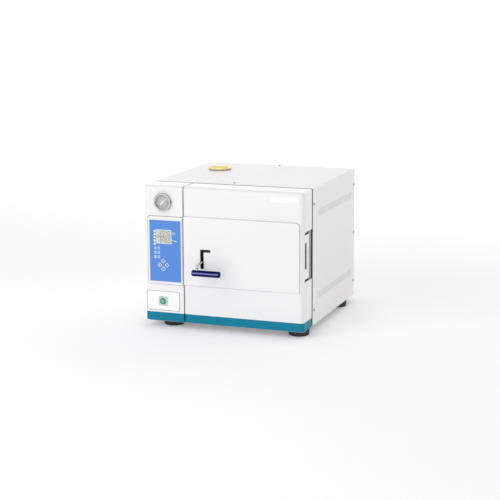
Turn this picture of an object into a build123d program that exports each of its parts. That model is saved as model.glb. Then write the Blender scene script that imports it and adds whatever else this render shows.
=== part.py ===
from build123d import *
import os

# Benchtop steam steriliser (autoclave), about 20 litres.
# Modelling axes: X to the right seen from the front, Y to the back, Z up.
# Y = 0 is the flat front of the door and of the control column, Z = 0 the
# underside of the base pan. save_piece() moves each piece so that the origin
# lies on the bench, at the centre of the depth. All lengths are millimetres.
# A name for a span, such as LCD_X, holds its (low, high) coordinates.

# ---------------------------------------------------------------- body
WIDTH = 470.0             # over the sheet metal cover
HALF_W = WIDTH / 2
HEIGHT = 385.0            # above the underside of the base pan
FRAME_Y0 = 76.0           # front face of the front frame
COVER_Y0 = 80.0           # front edge of the wrap-round cover
BACK_Y = 488.0
GAUGE = 1.5               # sheet of the base pan and the flanged end plates
FRAME_X = HALF_W - GAUGE  # half width of the pan and the end plates
FRAME_Z1 = HEIGHT - GAUGE
COVER_T = 1.2
TOP_R = 3.0               # long top side edges
LIP_DROP = 2.2            # how far the pan's front lip is joggled down

FOOT_H = 18.0
FOOT_R = 30.0
FOOT_STUD_R = 3.2
FEET = [(-167.0, 48.0), (206.5, 46.0), (-167.0, 403.0), (206.5, 403.0)]  # x, y

# Cover screws: (y, z) on both sides, (x, y) on the top.
FRONT_SIDE_SCREWS = [(90.0, 341.0), (91.0, 43.0)]
REAR_SIDE_SCREWS = [(481.0, 338.0), (481.0, 194.0), (481.0, 45.0)]
SIDE_SCREWS = FRONT_SIDE_SCREWS + REAR_SIDE_SCREWS
TOP_SCREWS = [(-4.0, 108.0), (0.0, 481.0)]
SCREW_HOLE_R = 2.1        # in the end plates
COVER_HOLE_R = 2.3

# ---------------------------------------------------------------- front mouldings
WALL = 3.0
DOOR_DEPTH = 72.0
COLUMN_DEPTH = 74.0
CORNER_R = 11.0           # rounded front corners
COLUMN_X = (-HALF_W, -117.8)
DOOR_X = (-113.5, HALF_W)
SKIRT_H = 24.5
SKIRT_T = 2.5
RAISE = 5.0               # how far the central band stands proud
BEZEL_X = (-222.0, COLUMN_X[1])
BEZEL_Z = (107.0, 299.0)
PAD_X = (DOOR_X[0], 224.0)
PAD_Z = (108.0, 302.0)

# ---------------------------------------------------------------- control panel
MEMBRANE_X = (-218.8, -119.6)
MEMBRANE_Z = (112.4, 291.0)
LCD_X = (-196.5, -151.0)
LCD_Z = (223.5, 261.0)
LED_X = -201.4
LED_ZS = [257.0 - 9.0 * i for i in range(5)]
PARTS_BACK_Y = 4.9        # back of the display and LEDs, just off the board
KEY_X, KEY_Z = -175.3, 162.0            # centre of the key cross
KEY_STEP_X, KEY_STEP_Z = 10.9, 11.2
KEY_SIZE = 12.1
KEYS = {                                # name: centre (x, z)
    "key_up": (KEY_X, KEY_Z + KEY_STEP_Z),
    "key_down": (KEY_X, KEY_Z - KEY_STEP_Z),
    "key_left": (KEY_X - KEY_STEP_X, KEY_Z),
    "key_right": (KEY_X + KEY_STEP_X, KEY_Z),
}
GAUGE_X, GAUGE_Z, GAUGE_R = -175.7, 339.4, 25.5    # pressure gauge
GAUGE_FACE_R = 21.4       # dial and glass
NEEDLE_TURN = 48          # degrees clockwise from straight up
POWER_X, POWER_Z = -179.5, 57.5
POWER_BEZEL_SIZE = 26.0
POWER_BUTTON_R = 8.85
POWER_HOLE_R = 11.4

# ---------------------------------------------------------------- chamber
CHAMBER_X, CHAMBER_Z = 59.0, 205.0
BORE_R = 125.0
VESSEL_R = BORE_R + 2.0
FLANGE_Y0 = 75.0          # sealing face of the chamber flange
HEATER_DX = 35            # heater legs, each side of the centre
HEATER_Z = CHAMBER_Z - 104
HEATER_BACK_Y = 480
OUTLET_Y = 445            # steam outlet
PIPE_R = 4.0              # steam pipe and heating element
SAFETY_Y = 428            # safety valve
RACK_HALF_W = 96.0
RACK_SHEET = 1.6
RACK_Y = (124, 440)
TRAYS = {                 # name: height above the chamber axis
    "tray_lower": -70.0, "tray_middle": -22.0, "tray_upper": 26.0,
}
TRAY_H = 20

# ---------------------------------------------------------------- services
CAP_X, CAP_Y, CAP_R = -142.0, 349.0, 34.5          # filler cap on the top
INLET_X = (-203.6, -176.4)
INLET_Z = (40.6, 87.4)
FUSE_X = -155
FUSE_ZS = (52.0, 78.0)
VALVE_X = -150
SPIGOT_XS = [-120.0, -80.0]
SPIGOT_Z = 40.0
SPIGOT_R = 5.0
SPIGOT_Y1 = 510.25

# ---------------------------------------------------------------- hinge and latch
HINGE_X, HINGE_Y = 222.0, 22.0
PIN_R = 5.0
ARM_ZS = (141.0, 271.0)   # heights of the two hinge arms
ARM_T = 5.0
KNUCKLE_Z = (182, 234)

LOCK_Y, LOCK_Z = 42.0, 182.0            # lock shaft axis, along X
SHAFT_R = 5.0
HUB_X = (-106, -95)       # hub and hook at the left end of the lock shaft
LEVER_X = -59.4
ROD_R = 3.25
GRIP_Y, GRIP_Z, GRIP_R = -41.0, 153.5, 8.75
GRIP_X = (-74.0, 8.0)
# Lever slot: an upright leg, with a side leg to the right at its top.
SLOT_X = (-64.7, -54.0)
SLOT_Z = (157.0, 213.0)
SLOT_LEG_X = (SLOT_X[0], -33.5)
SLOT_LEG_Z = (205.0, SLOT_Z[1])

MID_Y = (SPIGOT_Y1 + (GRIP_Y - GRIP_R)) / 2        # centre of the overall depth


# ---------------------------------------------------------------- helpers
def block(x0, x1, y0, y1, z0, z1):
    centre = Pos((x0 + x1) / 2, (y0 + y1) / 2, (z0 + z1) / 2)
    return centre * Box(x1 - x0, y1 - y0, z1 - z0)


def rod_x(y, z, radius, x0, x1):
    return Pos((x0 + x1) / 2, y, z) * Rot(0, 90, 0) * Cylinder(radius, x1 - x0)


def rod_y(x, z, radius, y0, y1):
    return Pos(x, (y0 + y1) / 2, z) * Rot(90, 0, 0) * Cylinder(radius, y1 - y0)


def rod_z(x, y, radius, z0, z1):
    return Pos(x, y, (z0 + z1) / 2) * Cylinder(radius, z1 - z0)


def grown(span, by):
    """The span widened at both ends; a negative value narrows it."""
    return span[0] - by, span[1] + by


def group(items):
    return Compound([s for i in items for s in i.solids()])


def edges_where(shape, condition):
    """Edges whose centre meets the condition."""
    return [e for e in shape.edges() if condition(e.center())]


def round_edges(shape, radius, condition):
    return fillet(edges_where(shape, condition), radius)


def rounded_plate(x0, x1, y0, y1, z0, z1, radius):
    """Block with its four edges along Y rounded."""
    mid = (y0 + y1) / 2
    return round_edges(block(x0, x1, y0, y1, z0, z1), radius,
                       lambda c: abs(c.Y - mid) < 0.01)


def prism(points, direction, length):
    """Flat outline of 3D points, extruded along a direction."""
    return extrude(make_face(Polyline(*points, close=True)),
                   amount=length, dir=direction)


def hex_prism(x, y, z, radius, half_length):
    """Hexagon with its axis along Y, centred on the point."""
    return Pos(x, y, z) * Rot(90, 0, 0) * extrude(
        RegularPolygon(radius, 6), amount=half_length, both=True)


def turned(profile, x, z):
    """Half profile of (radius, y) points turned about the Y line at (x, z)."""
    wire = Polyline(*[(x + r, y, z) for r, y in profile], close=True)
    return revolve(make_face(wire), axis=Axis((x, 0, z), (0, 1, 0)),
                   revolution_arc=360)


def bent_rod(points, bend_radius, radius):
    path = FilletPolyline(*points, radius=bend_radius)
    profile = Plane(origin=path @ 0, z_dir=path % 0) * Circle(radius)
    return sweep(profile, path=path)


def save_piece(name, shape):
    export_step(Pos(0, -MID_Y, FOOT_H) * shape, "parts/" + name + ".step")


# ---------------------------------------------------------------- moulding forms
def front_block(x_span, depth, z0, z1, inset, side):
    """Block with one rounded front corner and a rounded top.

    side is +1 for the door (right corner), -1 for the column (left corner).
    inset draws in the front, top and both sides, for the hollow inside."""
    x0, x1 = grown(x_span, -inset)
    top = z1 - inset
    solid = block(x0, x1, inset, depth, z0, top)
    corner_x = x1 if side > 0 else x0
    upright = edges_where(solid, lambda c: abs(c.X - corner_x) < 0.01
                          and abs(c.Y - inset) < 0.01
                          and abs(c.Z - (z0 + top) / 2) < 1)
    top_front = edges_where(solid, lambda c: abs(c.Z - top) < 0.01
                            and abs(c.Y - inset) < 0.01)
    solid = fillet(upright + top_front, CORNER_R - inset)
    top_side = edges_where(solid, lambda c: abs(c.X - corner_x) < 0.01
                           and abs(c.Z - top) < 0.01)
    if TOP_R - inset > 0.4:
        solid = fillet(top_side, TOP_R - inset)
    return solid


def hollow_block(x_span, depth, z0, z1, wall, side):
    """Front block hollowed out, open at the back and the bottom."""
    return (front_block(x_span, depth, z0, z1, 0, side)
            - front_block(x_span, depth + 1, z0 - 1, z1, wall, side))


def skirt(x_span, depth, side):
    """Bottom strip of a moulding with a floor, cut from a taller block."""
    strip = hollow_block(x_span, depth, 0, SKIRT_H + 30, SKIRT_T, side)
    strip &= block(*grown(x_span, 5), -5, depth, 0, SKIRT_H)
    strip += block(*grown(x_span, -2), 12, depth, 0, SKIRT_T)
    return strip


# ---------------------------------------------------------------- sheet case
def base_pan():
    """Floor reaching under the front mouldings, with low side walls."""
    pan = block(-FRAME_X, FRAME_X, FRAME_Y0 + 0.5, BACK_Y - 0.2, 0, GAUGE)
    # the front lip is joggled down so that the skirts clear it
    lip = block(-FRAME_X, FRAME_X, 6, FRAME_Y0 + 2.0, -LIP_DROP, GAUGE - LIP_DROP)
    lip = round_edges(lip, 10, lambda c: c.Y < 7 and abs(c.X) > 230)
    pan += lip
    pan += block(-FRAME_X, FRAME_X, FRAME_Y0 + 0.5, FRAME_Y0 + 2.0, -LIP_DROP, GAUGE)
    for x in (-FRAME_X, FRAME_X - GAUGE):
        pan += block(x, x + GAUGE, 118.5, 471.5, 1.4, 26)
    for x, y in FEET:
        pan -= rod_z(x, y, FOOT_STUD_R + 0.1, -3, 3)
    # louvre slots below the electrics
    slot_pitch, slot_w = 14, 4
    pan -= group([block(-205, -115, y, y + slot_w, -1, 3)
                  for y in (150 + slot_pitch * i for i in range(8))])
    return pan


def flanged_plate(y_span, hollow_y):
    """End plate of the case, hollowed to leave flanges all round."""
    plate = block(-FRAME_X, FRAME_X, *y_span, GAUGE, FRAME_Z1)
    plate = round_edges(plate, 2.5, lambda c: abs(abs(c.X) - FRAME_X) < 0.1
                        and abs(c.Z - FRAME_Z1) < 0.1)
    inner_x = FRAME_X - GAUGE
    return plate - block(-inner_x, inner_x, *hollow_y, 2 * GAUGE, FRAME_Z1 - GAUGE)


def drill_screw_holes(plate, side_screws, top_screw):
    for y, z in side_screws:
        plate -= rod_x(y, z, SCREW_HOLE_R, -240, 240)
    return plate - rod_z(*top_screw, SCREW_HOLE_R, HEIGHT - 10, HEIGHT + 5)


def front_frame():
    """Plate flanged backwards, with a rim in front of the cover's cut edge."""
    frame = flanged_plate((FRAME_Y0, 118), (FRAME_Y0 + 2, 119))
    frame -= rod_y(CHAMBER_X, CHAMBER_Z, 146, 70, 90)
    # two openings behind the column
    for z0, z1 in ((130, 360), (34, 80)):
        frame -= block(-208, -126, 70, 90, z0, z1)
    frame = drill_screw_holes(frame, FRONT_SIDE_SCREWS, TOP_SCREWS[0])
    rim = block(-HALF_W, HALF_W, FRAME_Y0 - 1.6, COVER_Y0 - 0.05, 1.55, HEIGHT)
    rim = round_edges(rim, TOP_R, lambda c: abs(abs(c.X) - HALF_W) < 0.1
                      and abs(c.Z - HEIGHT) < 0.1)
    rim_in = HALF_W - 1.55
    rim -= block(-rim_in, rim_in, FRAME_Y0 + 0.1, COVER_Y0 + 1, 0, HEIGHT - 1.55)
    rim -= block(-HALF_W + 6, HALF_W - 6, FRAME_Y0 - 3, FRAME_Y0 + 3, 8, HEIGHT - 7)
    # notch for the hinge bracket
    rim -= block(226, 233.3, FRAME_Y0 - 3, FRAME_Y0 + 0.01, 136.4, 275.6)
    return frame + rim


def rear_panel():
    """Plate flanged forwards, with the service openings and vent slots."""
    panel = flanged_plate((472, BACK_Y), (471, BACK_Y - GAUGE))
    panel = drill_screw_holes(panel, REAR_SIDE_SCREWS, TOP_SCREWS[1])
    for x in SPIGOT_XS:
        panel -= rod_y(x, SPIGOT_Z, 6.2, 480, 495)
    panel -= block(*grown(INLET_X, 0.2), 480, 495, *grown(INLET_Z, 0.2))
    for z in FUSE_ZS:
        panel -= rod_y(FUSE_X, z, 6.3, 480, 495)
    slots = []
    slot_pitch, slot_w, slot_h = 12, 4, 34
    for z in (300.0, 120.0):
        for i in range(18):
            x = -30 + slot_pitch * i
            slots.append(block(x, x + slot_w, 480, 495, z, z + slot_h))
    return panel - group(slots)


def wrap_cover():
    """Top and both sides in one folded sheet."""
    cover = block(-HALF_W, HALF_W, COVER_Y0, BACK_Y, 0, HEIGHT)
    cover = round_edges(cover, TOP_R, lambda c: c.Z > HEIGHT - 0.1
                        and abs(abs(c.X) - HALF_W) < 0.1)
    inner_x, inner_z = HALF_W - COVER_T, HEIGHT - COVER_T
    inner = block(-inner_x, inner_x, COVER_Y0 - 1, BACK_Y + 1, -1, inner_z)
    inner = round_edges(inner, TOP_R - COVER_T, lambda c: c.Z > inner_z - 0.1
                        and abs(abs(c.X) - inner_x) < 0.1)
    cover -= inner
    # an upper and a lower row of vent slits on each side
    vents = []
    count, first_y, last_y = 36, 127.5, 452.0
    for z0, z1 in ((300.5, 320.5), (66.0, 87.0)):
        for i in range(count):
            y = first_y + i * (last_y - first_y) / (count - 1)
            for x in (-HALF_W, HALF_W):
                vents.append(block(x - 2, x + 2, y - 1.1, y + 1.1, z0, z1))
    cover -= group(vents)
    for y, z in SIDE_SCREWS:
        cover -= rod_x(y, z, COVER_HOLE_R, -240, 240)
    for x, y in TOP_SCREWS:
        cover -= rod_z(x, y, COVER_HOLE_R, HEIGHT - 5, HEIGHT + 5)
    return cover - rod_z(CAP_X, CAP_Y, 29, HEIGHT - 5, HEIGHT + 5)


def pan_head_screw():
    """Cross-slotted screw pointing down, the head seated on Z = 0."""
    head_h, half_long, half_wide = 2.0, 2.4, 0.4
    head = rod_z(0, 0, 3.6, 0, head_h)
    head = round_edges(head, 1.0, lambda c: c.Z > head_h - 0.1)
    for dx, dy in ((half_long, half_wide), (half_wide, half_long)):
        head -= block(-dx, dx, -dy, dy, 1.2, 3)
    return head + rod_z(0, 0, 2.0, -8, 0.2)


def cover_screws():
    screws = [Pos(side * HALF_W, y, z) * Rot(0, side * 90, 0) * pan_head_screw()
              for y, z in SIDE_SCREWS for side in (-1, 1)]
    screws += [Pos(x, y, HEIGHT) * pan_head_screw() for x, y in TOP_SCREWS]
    return group(screws)


def feet():
    """Slightly tapered rubber pucks with a stud through the pan."""
    pucks = []
    for x, y in FEET:
        is_front = y < FRAME_Y0
        # the front feet carry the joggled lip, so they are that much shorter
        top = -LIP_DROP if is_front else 0.0
        puck = Pos(x, y, (top - FOOT_H) / 2) * Cone(FOOT_R - 1.5, FOOT_R, FOOT_H + top)
        puck = round_edges(puck, 2.5, lambda c: c.Z < -FOOT_H + 0.1)
        if is_front:
            # flush stud, because the skirts pass just above it
            puck += rod_z(x, y, FOOT_STUD_R, top - 1, top + GAUGE)
        else:
            puck += rod_z(x, y, FOOT_STUD_R, -1, 5.0)
            puck += rod_z(x, y, 7.0, 1.6, 5.0)
        pucks.append(puck)
    return group(pucks)


# ---------------------------------------------------------------- column
def column_housing():
    housing = hollow_block(COLUMN_X, COLUMN_DEPTH, SKIRT_H, HEIGHT, WALL, -1)
    housing -= block(-211, -127, -1, 5, 124, 276)        # behind the panel
    housing -= rod_y(GAUGE_X, GAUGE_Z, 21.0, -2, 6)
    housing -= rod_y(POWER_X, POWER_Z, POWER_HOLE_R, -2, 6)
    for z in (100, 310):
        for x in (-222, -131):
            housing += rod_y(x, z, 5, WALL - 0.2, FRAME_Y0)    # fixing posts
    return housing


def column_skirt():
    return skirt(COLUMN_X, COLUMN_DEPTH, -1)


def key_block(x, z, size, y0, y1):
    """Square standing on one corner, with rounded corners."""
    mid = (y0 + y1) / 2
    key = Pos(x, mid, z) * Rot(0, 45, 0) * Box(size, y1 - y0, size)
    return round_edges(key, 1.6, lambda c: abs(c.Y - mid) < 0.01)


def cut_panel_openings(panel, lcd_inset, led_radius, key_size):
    panel -= block(*grown(LCD_X, -lcd_inset), -9, 2, *grown(LCD_Z, -lcd_inset))
    for z in LED_ZS:
        panel -= rod_y(LED_X, z, led_radius, -9, 2)
    for x, z in KEYS.values():
        panel -= key_block(x, z, key_size, -9, 2)
    return panel


def panel_bezel():
    bezel = block(*BEZEL_X, -RAISE, 0, *BEZEL_Z)
    for z, radius in ((BEZEL_Z[1], 8), (BEZEL_Z[0], 3)):
        bezel = round_edges(bezel, radius, lambda c: abs(c.X - BEZEL_X[0]) < 0.1
                            and abs(c.Z - z) < 0.1)
    bezel = round_edges(bezel, 1.2, lambda c: c.Y < -RAISE + 0.01)
    # recess for the membrane
    bezel -= block(*grown(MEMBRANE_X, 0.2), -RAISE - 1, -RAISE + 1,
                   *grown(MEMBRANE_Z, 0.2))
    return cut_panel_openings(bezel, 0, 1.8, 12.7)


def control_membrane():
    sheet = rounded_plate(*MEMBRANE_X, -RAISE - 0.2, -RAISE + 0.9, *MEMBRANE_Z, 2)
    return cut_panel_openings(sheet, 0.3, 1.7, 12.6)


def lcd_display():
    return block(*grown(LCD_X, -0.6), -RAISE + 0.3, PARTS_BACK_Y, *grown(LCD_Z, -0.6))


def indicator_leds():
    leds = []
    for z in LED_ZS:
        led = rod_y(LED_X, z, 1.5, -RAISE - 0.2, PARTS_BACK_Y)
        leds.append(round_edges(led, 0.8, lambda c: c.Y < -RAISE))
    return group(leds)


def panel_key(x, z):
    key = key_block(x, z, KEY_SIZE, -RAISE - 0.8, -1.0)
    return round_edges(key, 0.3, lambda c: c.Y < -RAISE - 0.79)


def control_board():
    board = block(-209, -129, 5, 6.6, 126, 274)
    # a switch with a round plunger behind each key
    for x, z in KEYS.values():
        board += block(x - 3, x + 3, 1.2, 5.1, z - 3, z + 3)
        board += rod_y(x, z, 1.7, -0.3, 1.4)
    # components on the back: x0, x1, back y, z0, z1
    for x0, x1, y1, z0, z1 in ((-200, -150, 14, 226, 258),
                               (-195, -180, 10, 150, 165),
                               (-165, -140, 18, 180, 190)):
        board += block(x0, x1, 6.5, y1, z0, z1)
    for x in (-205, -133):
        for z in (130, 270):
            board += rod_y(x, z, 2.5, 6.4, 20)           # standoffs
    return board


def gauge_case():
    profile = [  # radius, y
        (20.4, -8), (GAUGE_R - 1.2, -8), (GAUGE_R, -6.8), (GAUGE_R, -0.01),
        (20.6, -0.01), (20.6, 26), (5, 26), (5, 42), (0, 42), (0, 24),
        (19.2, 24), (19.2, -2), (21.6, -2), (21.6, -6.6), (20.4, -6.6),
    ]
    return turned(profile, GAUGE_X, GAUGE_Z)


def gauge_dial():
    dial = rod_y(GAUGE_X, GAUGE_Z, GAUGE_FACE_R, -2.6, -2.0)
    return dial - rod_y(GAUGE_X, GAUGE_Z, 1.2, -3, -1)


def gauge_glass():
    return rod_y(GAUGE_X, GAUGE_Z, GAUGE_FACE_R, -6.4, -5.4)


def gauge_needle():
    """Pointer drawn straight up about its pivot, then turned."""
    y0, y1 = -3.8, -3.2
    outline = [(-1.7, -10), (1.7, -10), (1.3, 0), (0.5, 16.0), (-0.5, 16.0),
               (-1.3, 0)]  # x, z
    needle = prism([(x, y0, z) for x, z in outline], (0, 1, 0), y1 - y0)
    needle = Pos(GAUGE_X, 0, GAUGE_Z) * Rot(0, NEEDLE_TURN, 0) * needle
    needle += rod_y(GAUGE_X, GAUGE_Z, 2.3, -4.4, y1)
    needle += rod_y(GAUGE_X, GAUGE_Z, 1.12, -3.3, 6)
    return needle


def power_plate():
    plate = rounded_plate(-229.0, -129.5, -1.0, -0.01, 30.0, 86.0, 3)
    return plate - rod_y(POWER_X, POWER_Z, POWER_HOLE_R, -2, 6)


def power_button_bezel():
    half = POWER_BEZEL_SIZE / 2
    bezel = rounded_plate(POWER_X - half, POWER_X + half, -4.0, -1.02,
                          POWER_Z - half, POWER_Z + half, 2.5)
    bezel = round_edges(bezel, 0.8, lambda c: c.Y < -3.99)
    bezel += rod_y(POWER_X, POWER_Z, POWER_HOLE_R - 0.2, -1.1, 24)
    return bezel - rod_y(POWER_X, POWER_Z, POWER_BUTTON_R + 0.2, -5, 21)


def power_button():
    button = rod_y(POWER_X, POWER_Z, POWER_BUTTON_R, -6.5, 12)
    button = round_edges(button, 0.8, lambda c: c.Y < -6.4)
    # ring groove in the face
    button -= turned([(5.4, -7), (6.2, -7), (6.2, -6.1), (5.4, -6.1)],
                     POWER_X, POWER_Z)
    return button + rod_y(POWER_X, POWER_Z, 3, 11.9, 16)


# ---------------------------------------------------------------- chamber
def chamber_vessel():
    """Cylinder open at the front, with a dished back."""
    profile = [  # radius, y: outside to the back, then inside to the front
        (BORE_R, 88.5), (VESSEL_R, 88.5), (VESSEL_R, 438),
        (122, 452), (110, 461), (88, 467.5), (55, 471.5), (0, 473),
        (0, 471), (54.5, 469.5), (87, 465.5), (108.5, 459.2),
        (120.2, 450.6), (BORE_R, 437.5),
    ]
    vessel = turned(profile, CHAMBER_X, CHAMBER_Z)
    for dx in (-HEATER_DX, HEATER_DX):
        vessel -= rod_y(CHAMBER_X + dx, HEATER_Z, PIPE_R + 0.15, 440, 480)
    vessel -= rod_x(OUTLET_Y, CHAMBER_Z, PIPE_R + 0.2, CHAMBER_X - 130, CHAMBER_X - 60)
    vessel -= rod_z(CHAMBER_X, SAFETY_Y, 5.2, CHAMBER_Z + 100, CHAMBER_Z + 140)
    return vessel


def chamber_flange():
    profile = [(BORE_R, FLANGE_Y0), (145, FLANGE_Y0), (145, 78.1), (155, 78.1),
               (155, 81), (145, 81), (145, 88.4), (BORE_R, 88.4)]  # radius, y
    return turned(profile, CHAMBER_X, CHAMBER_Z)


def insulation_jacket():
    profile = [(128.5, 96), (148, 96), (148, 416), (128.5, 416)]  # radius, y
    return turned(profile, CHAMBER_X, CHAMBER_Z)


def chamber_saddles():
    """Two upright plates cut to the jacket, each on a foot strip."""
    saddles = []
    x0, x1 = CHAMBER_X - 100, CHAMBER_X + 100
    for y in (150.0, 370.0):
        saddle = block(x0, x1, y, y + 5, 1.55, 120)
        saddle -= rod_y(CHAMBER_X, CHAMBER_Z, 148.3, y - 1, y + 6)
        saddle += block(x0, x1, y, y + 22, 1.55, 3.5)
        saddles.append(saddle)
    return group(saddles)


def heating_element():
    """Hairpin low in the chamber."""
    left, right = CHAMBER_X - HEATER_DX, CHAMBER_X + HEATER_DX
    path = [(left, HEATER_BACK_Y), (left, 112), (right, 112), (right, HEATER_BACK_Y)]
    return bent_rod([(x, y, HEATER_Z) for x, y in path], 25, PIPE_R)


def tray_rack():
    """Two perforated side plates with ledges inside, joined by round bars."""
    inner = RACK_HALF_W - RACK_SHEET
    pieces = []
    for side in (-1, 1):
        x0, x1 = sorted((CHAMBER_X + side * RACK_HALF_W, CHAMBER_X + side * inner))
        plate = block(x0, x1, *RACK_Y, CHAMBER_Z - 76.5, CHAMBER_Z + 60)
        for dz in (-44, 4):
            plate -= group([rod_x(160 + 62 * i, CHAMBER_Z + dz, 11,
                                  CHAMBER_X - 110, CHAMBER_X + 110)
                            for i in range(5)])
        pieces.append(plate)
        x0, x1 = sorted((CHAMBER_X + side * inner,
                         CHAMBER_X + side * (RACK_HALF_W - 12)))
        for dz in TRAYS.values():
            z = CHAMBER_Z + dz
            pieces.append(block(x0, x1, *RACK_Y, z - 2.0, z - 0.2))
    for y in (128.0, 430.0):
        pieces.append(rod_x(y, CHAMBER_Z - 74.5, 1.8, CHAMBER_X - inner,
                            CHAMBER_X + inner))
    return group(pieces)


def tray(dz):
    """Open tray with rounded corners and a perforated floor."""
    half_w, wall, corner = 92.5, 1, 8
    y_span = (126, 438)
    z = CHAMBER_Z + dz

    def rounded_block(inset):
        z0 = z + inset
        half = half_w - inset
        solid = block(CHAMBER_X - half, CHAMBER_X + half, *grown(y_span, -inset),
                      z0, z0 + TRAY_H)
        return round_edges(solid, corner - inset,
                           lambda c: abs(c.Z - z0 - TRAY_H / 2) < 0.01)

    pitch = 36
    holes = [rod_z(CHAMBER_X - 72 + column * pitch, 156 + row * pitch, 3.5,
                   z - 1, z + 2)
             for row in range(8) for column in range(5)]
    return rounded_block(0) - rounded_block(wall) - group(holes)


def safety_valve():
    """Stack of round steps on a stub, on top of the vessel near its back."""
    steps = [(5, 123, 142), (10, 141, 150), (7, 149, 168), (9, 161, 164)]
    stub, *rest = [rod_z(CHAMBER_X, SAFETY_Y, radius, CHAMBER_Z + z0, CHAMBER_Z + z1)
                   for radius, z0, z1 in steps]
    valve = stub
    for step in rest:
        valve += step
    return valve


def steam_pipes():
    """Pipe from the left side of the vessel, down and forward to the valves."""
    x, z = -96, 62
    return bent_rod([(CHAMBER_X - 121, OUTLET_Y, CHAMBER_Z),
                     (x, OUTLET_Y, CHAMBER_Z), (x, OUTLET_Y, z),
                     (VALVE_X, OUTLET_Y, z), (VALVE_X, 262.2, z)], 8, PIPE_R)


# ---------------------------------------------------------------- services
def water_tank():
    """Hollow tank with a filler neck on top and an outlet below."""
    x_span, y_span, z_span = (-229, -100), (262, 469), (200, 368)
    tank = block(*x_span, *y_span, *z_span)
    tank = fillet(tank.edges(), 6)
    tank -= block(*grown(x_span, -3), *grown(y_span, -3), *grown(z_span, -3))
    tank += rod_z(CAP_X, CAP_Y, 28, 366, 386.0)
    tank -= rod_z(CAP_X, CAP_Y, 24, 360, 400)
    tank += rod_z(-120, 440, 6, 186, 204)
    return tank - rod_z(-120, 440, 4, 180, 210)


def filler_cap_seal():
    def disc(radius, z0, z1):
        return rod_z(CAP_X, CAP_Y, radius, z0, z1)

    seal = disc(33, 386.5, 388.0)
    seal += disc(33, 385.2, 386.6) - disc(30.5, 380, 390)
    seal += disc(23.6, 376, 386.6) - disc(20, 370, 386.5)
    # undercut bore that the cap's button snaps into
    seal -= disc(8.2, 370, 390)
    return seal - disc(10.2, 370, 387.3)


def filler_cap():
    """Disc with a snap button below and a finger bar on top."""
    cap = rod_z(CAP_X, CAP_Y, CAP_R, 388.2, 391.4)
    cap = round_edges(cap, 1.2, lambda c: c.Z > 391.3)
    cap += rod_z(CAP_X, CAP_Y, 8, 387.0, 388.3)
    cap += rod_z(CAP_X, CAP_Y, 10, 386.5, 387.15)
    bar = block(CAP_X - 24, CAP_X + 24, CAP_Y - 4.5, CAP_Y + 4.5, 391.2, 394.2)
    return cap + round_edges(bar, 4, lambda c: abs(c.Z - 392.7) < 0.1)


def solenoid_valves():
    """Three valves in a row from front to back."""
    valves = []
    x = VALVE_X
    for y in (140.0, 190.0, 240.0):
        valve = block(x - 16, x + 16, y - 14, y + 14, 30, 48)
        valve += block(x - 20, x + 20, y - 18, y + 18, 47.9, 88)
        valve += rod_x(y, 38, 6, x - 30, x + 30)
        valve -= rod_x(y, 38, 3.5, x - 31, x + 31)
        valve += rod_z(x, y, 9, 87.9, 96)
        valve += block(x - 10, x + 10, y - 8, y + 8, 1.55, 30.1)
        valves.append(valve)
    return group(valves)


def condenser_coil():
    """Upright serpentine pipe along the left side."""
    front_y, back_y, pitch = 290, 455, 20
    points = []
    for i in range(6):
        run = (front_y, back_y) if i % 2 == 0 else (back_y, front_y)
        points += [(-215, y, 24 + pitch * i) for y in run]
    return bent_rod(points, 9.5, 5.0)


def power_board():
    """Upright board on the left of the case, components facing inwards."""
    board = block(-222, -220.2, 128, 250, 150, 330)
    # blocks: inner x, y0, y1, z0, z1
    for x1, y0, y1, z0, z1 in ((-196, 140, 180, 165, 215),
                               (-200, 195, 235, 170, 200),
                               (-206, 150, 230, 240, 262)):
        board += block(-220.3, x1, y0, y1, z0, z1)
    for y in (150, 180):
        board += rod_x(y, 300, 11, -220.3, -190)
    for y in (134, 244):
        for z in (156, 324):
            board += rod_x(y, z, 2.5, -HALF_W + COVER_T + 0.2, -221)
    return board


def power_inlet():
    """Mains socket with three pins and a flange outside the panel."""
    inlet = block(*INLET_X, 462, BACK_Y + 0.1, *INLET_Z)
    inlet += block(-207, -173, BACK_Y + 0.02, BACK_Y + 2.5, 37, 91)
    inlet -= block(-201, -179, 468, 495, 46, 64)
    for x in (-196, -190, -184):
        inlet += block(x - 1, x + 1, 467.5, 484, 52, 58)
    return inlet


def fuse_holders():
    holders = []
    for z in FUSE_ZS:
        holder = rod_y(FUSE_X, z, 6.1, 460, BACK_Y + 0.1)
        holder += rod_y(FUSE_X, z, 9, BACK_Y + 0.02, BACK_Y + 3)
        holder += rod_y(FUSE_X, z, 6.5, BACK_Y + 2.9, BACK_Y + 9)
        holder -= block(FUSE_X - 5, FUSE_X + 5, BACK_Y + 7, BACK_Y + 10,
                        z - 0.7, z + 0.7)
        holders.append(holder)
    return group(holders)


def drain_spigots():
    """Two hex-flanged spigots through the rear panel."""
    spigots = []
    for x in SPIGOT_XS:
        spigot = rod_y(x, SPIGOT_Z, 6.0, 472, BACK_Y + 0.1)
        spigot += hex_prism(x, BACK_Y + 2.52, SPIGOT_Z, 9.5, 2.5)
        spigot += rod_y(x, SPIGOT_Z, SPIGOT_R, BACK_Y + 4.9, SPIGOT_Y1)
        spigot -= rod_y(x, SPIGOT_Z, 3.2, 470, 520)
        spigots.append(spigot)
    return group(spigots)


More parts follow.
